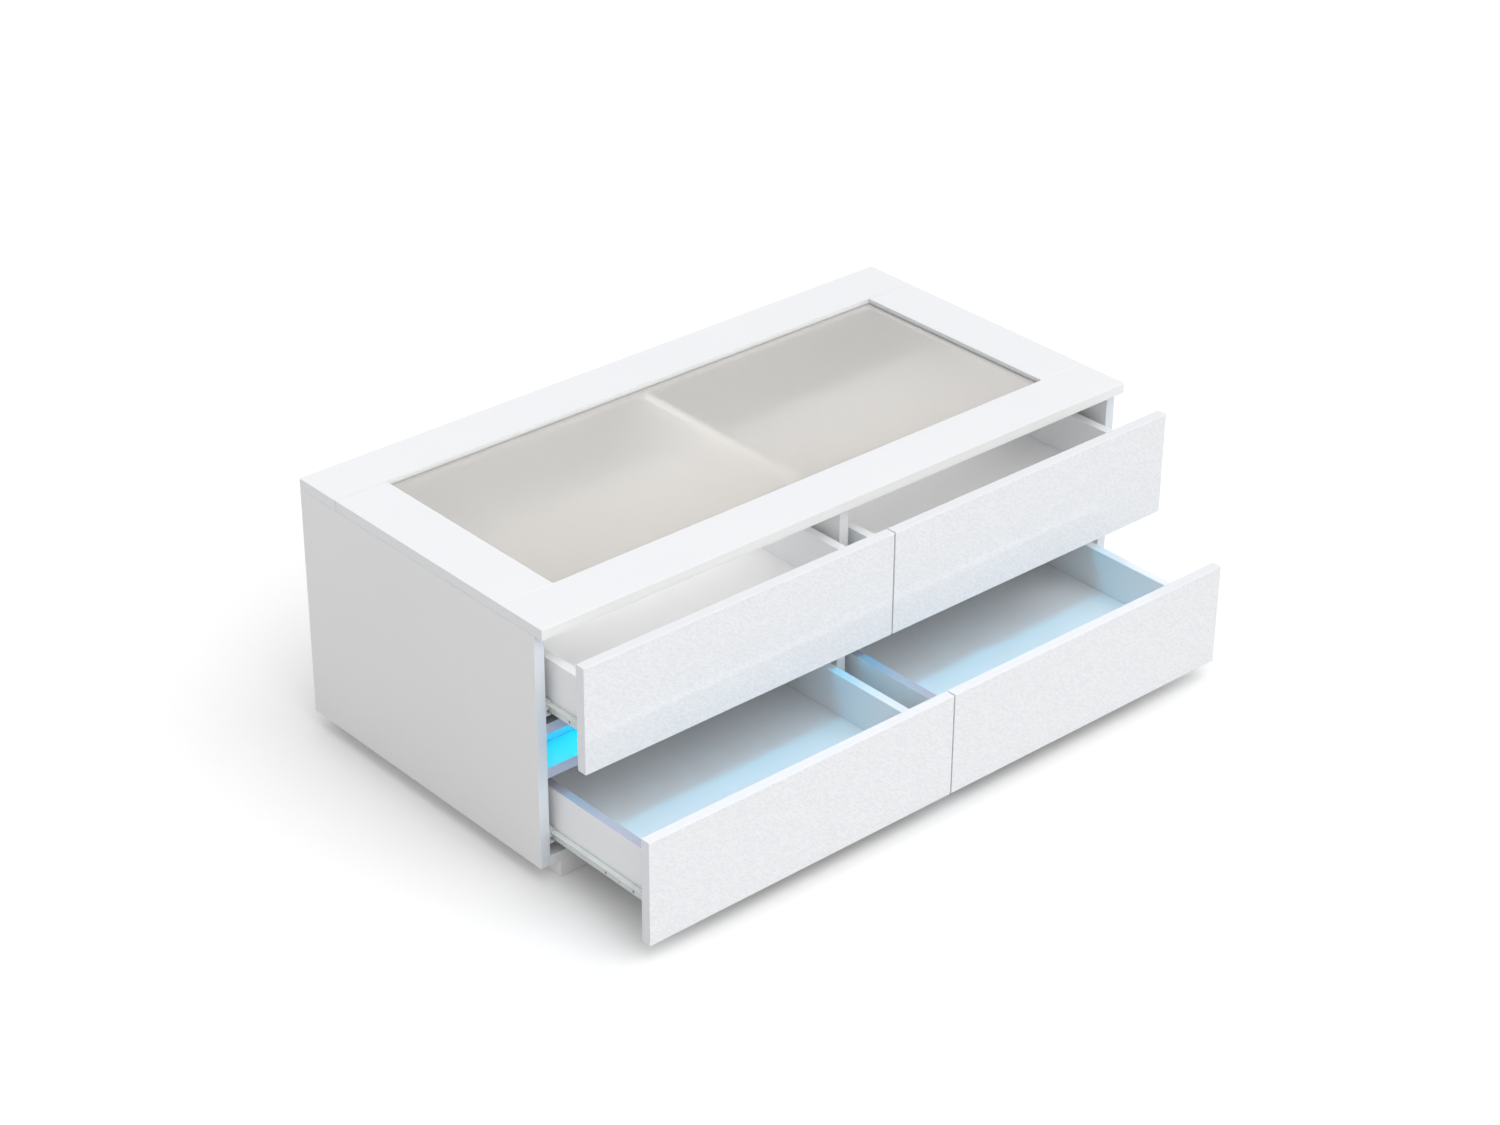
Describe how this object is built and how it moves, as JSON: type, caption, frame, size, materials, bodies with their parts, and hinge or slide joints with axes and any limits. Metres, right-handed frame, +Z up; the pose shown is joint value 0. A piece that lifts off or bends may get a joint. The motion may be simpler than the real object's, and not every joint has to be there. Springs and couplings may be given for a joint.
{
  "type": "led coffee table",
  "caption": "Low white coffee table with a frosted glass top, a cyan-lit recess across the front and wide handleless drawers on roller slides.",
  "frame": {"origin": "on the floor under the middle of the table, on the underside of the plinth's centre rail", "axes": "+X along the table's length, the drawers open towards -Y, +Z up"},
  "size_m": [1.2, 0.8329, 0.45],
  "materials": {
    "white_gloss": "high-gloss white lacquer on board",
    "white_inner": "satin white foil on board",
    "frosted_glass": "frosted glass, satin",
    "slide_steel": "light grey epoxy-coated steel",
    "nylon": "white nylon",
    "led_light": "lit cyan strip",
    "controller_case": "moulded white plastic"
  },
  "bodies": {
    "table": {"top_front_rail": "white_gloss", "top_back_rail": "white_gloss", "top_left_rail": "white_gloss", "top_right_rail": "white_gloss", "frosted_glass": "frosted_glass", "side_panel_left": "white_gloss", "side_panel_right": "white_gloss", "back_panel": "white_gloss", "bottom_panel": "white_gloss", "centre_divider": "white_gloss", "plinth_frame": "white_gloss", "light_shelf_upper": "white_gloss", "light_shelf_lower": "white_gloss", "light_back_board": "white_gloss", "led_strip": "led_light", "led_controller": "controller_case", "upper_left_channel_left": "slide_steel", "upper_left_channel_right": "slide_steel", "upper_right_channel_left": "slide_steel", "upper_right_channel_right": "slide_steel", "lower_left_channel_left": "slide_steel", "lower_left_channel_right": "slide_steel", "lower_right_channel_left": "slide_steel", "lower_right_channel_right": "slide_steel"},
    "upper_left_drawer": {"upper_left_drawer_front": "white_gloss", "upper_left_drawer_left_side": "white_inner", "upper_left_drawer_right_side": "white_inner", "upper_left_drawer_back": "white_inner", "upper_left_drawer_base": "white_inner", "upper_left_runner_left": "slide_steel", "upper_left_runner_right": "slide_steel"},
    "upper_left_front_roller_left": {"upper_left_front_roller_left": "nylon"},
    "upper_left_front_roller_right": {"upper_left_front_roller_right": "nylon"},
    "upper_right_drawer": {"upper_right_drawer_front": "white_gloss", "upper_right_drawer_left_side": "white_inner", "upper_right_drawer_right_side": "white_inner", "upper_right_drawer_back": "white_inner", "upper_right_drawer_base": "white_inner", "upper_right_runner_left": "slide_steel", "upper_right_runner_right": "slide_steel"},
    "upper_right_front_roller_left": {"upper_right_front_roller_left": "nylon"},
    "upper_right_front_roller_right": {"upper_right_front_roller_right": "nylon"},
    "lower_left_drawer": {"lower_left_drawer_front": "white_gloss", "lower_left_drawer_left_side": "white_inner", "lower_left_drawer_right_side": "white_inner", "lower_left_drawer_back": "white_inner", "lower_left_drawer_base": "white_inner", "lower_left_runner_left": "slide_steel", "lower_left_runner_right": "slide_steel"},
    "lower_left_front_roller_left": {"lower_left_front_roller_left": "nylon"},
    "lower_left_front_roller_right": {"lower_left_front_roller_right": "nylon"},
    "lower_right_drawer": {"lower_right_drawer_front": "white_gloss", "lower_right_drawer_left_side": "white_inner", "lower_right_drawer_right_side": "white_inner", "lower_right_drawer_back": "white_inner", "lower_right_drawer_base": "white_inner", "lower_right_runner_left": "slide_steel", "lower_right_runner_right": "slide_steel"},
    "lower_right_front_roller_left": {"lower_right_front_roller_left": "nylon"},
    "lower_right_front_roller_right": {"lower_right_front_roller_right": "nylon"}
  },
  "joints": [
    {"name": "upper_left_drawer_slide", "type": "slide", "parent": "table", "child": "upper_left_drawer", "axis": [0, -1, 0], "range_m": [-0.0933, 0.2417]},
    {"name": "upper_left_front_roller_left_spin", "type": "hinge", "parent": "table", "child": "upper_left_front_roller_left", "pos_m": [-0.576, -0.268, 0.3], "axis": [1, 0, 0], "continuous": true},
    {"name": "upper_left_front_roller_right_spin", "type": "hinge", "parent": "table", "child": "upper_left_front_roller_right", "pos_m": [-0.015, -0.268, 0.3], "axis": [1, 0, 0], "continuous": true},
    {"name": "upper_right_drawer_slide", "type": "slide", "parent": "table", "child": "upper_right_drawer", "axis": [0, -1, 0], "range_m": [-0.0933, 0.2417]},
    {"name": "upper_right_front_roller_left_spin", "type": "hinge", "parent": "table", "child": "upper_right_front_roller_left", "pos_m": [0.015, -0.268, 0.3], "axis": [1, 0, 0], "continuous": true},
    {"name": "upper_right_front_roller_right_spin", "type": "hinge", "parent": "table", "child": "upper_right_front_roller_right", "pos_m": [0.576, -0.268, 0.3], "axis": [1, 0, 0], "continuous": true},
    {"name": "lower_left_drawer_slide", "type": "slide", "parent": "table", "child": "lower_left_drawer", "axis": [0, -1, 0], "range_m": [-0.2329, 0.1021]},
    {"name": "lower_left_front_roller_left_spin", "type": "hinge", "parent": "table", "child": "lower_left_front_roller_left", "pos_m": [-0.576, -0.268, 0.07825], "axis": [1, 0, 0], "continuous": true},
    {"name": "lower_left_front_roller_right_spin", "type": "hinge", "parent": "table", "child": "lower_left_front_roller_right", "pos_m": [-0.015, -0.268, 0.07825], "axis": [1, 0, 0], "continuous": true},
    {"name": "lower_right_drawer_slide", "type": "slide", "parent": "table", "child": "lower_right_drawer", "axis": [0, -1, 0], "range_m": [-0.2329, 0.1021]},
    {"name": "lower_right_front_roller_left_spin", "type": "hinge", "parent": "table", "child": "lower_right_front_roller_left", "pos_m": [0.015, -0.268, 0.07825], "axis": [1, 0, 0], "continuous": true},
    {"name": "lower_right_front_roller_right_spin", "type": "hinge", "parent": "table", "child": "lower_right_front_roller_right", "pos_m": [0.576, -0.268, 0.07825], "axis": [1, 0, 0], "continuous": true}
  ],
  "couplings": [
    {"joint": "upper_left_front_roller_left_spin", "follows": "upper_left_drawer_slide", "rad_per_m": 117.65},
    {"joint": "upper_left_front_roller_right_spin", "follows": "upper_left_drawer_slide", "rad_per_m": 117.65},
    {"joint": "upper_right_front_roller_left_spin", "follows": "upper_right_drawer_slide", "rad_per_m": 117.65},
    {"joint": "upper_right_front_roller_right_spin", "follows": "upper_right_drawer_slide", "rad_per_m": 117.65},
    {"joint": "lower_left_front_roller_left_spin", "follows": "lower_left_drawer_slide", "rad_per_m": 117.65},
    {"joint": "lower_left_front_roller_right_spin", "follows": "lower_left_drawer_slide", "rad_per_m": 117.65},
    {"joint": "lower_right_front_roller_left_spin", "follows": "lower_right_drawer_slide", "rad_per_m": 117.65},
    {"joint": "lower_right_front_roller_right_spin", "follows": "lower_right_drawer_slide", "rad_per_m": 117.65}
  ]
}
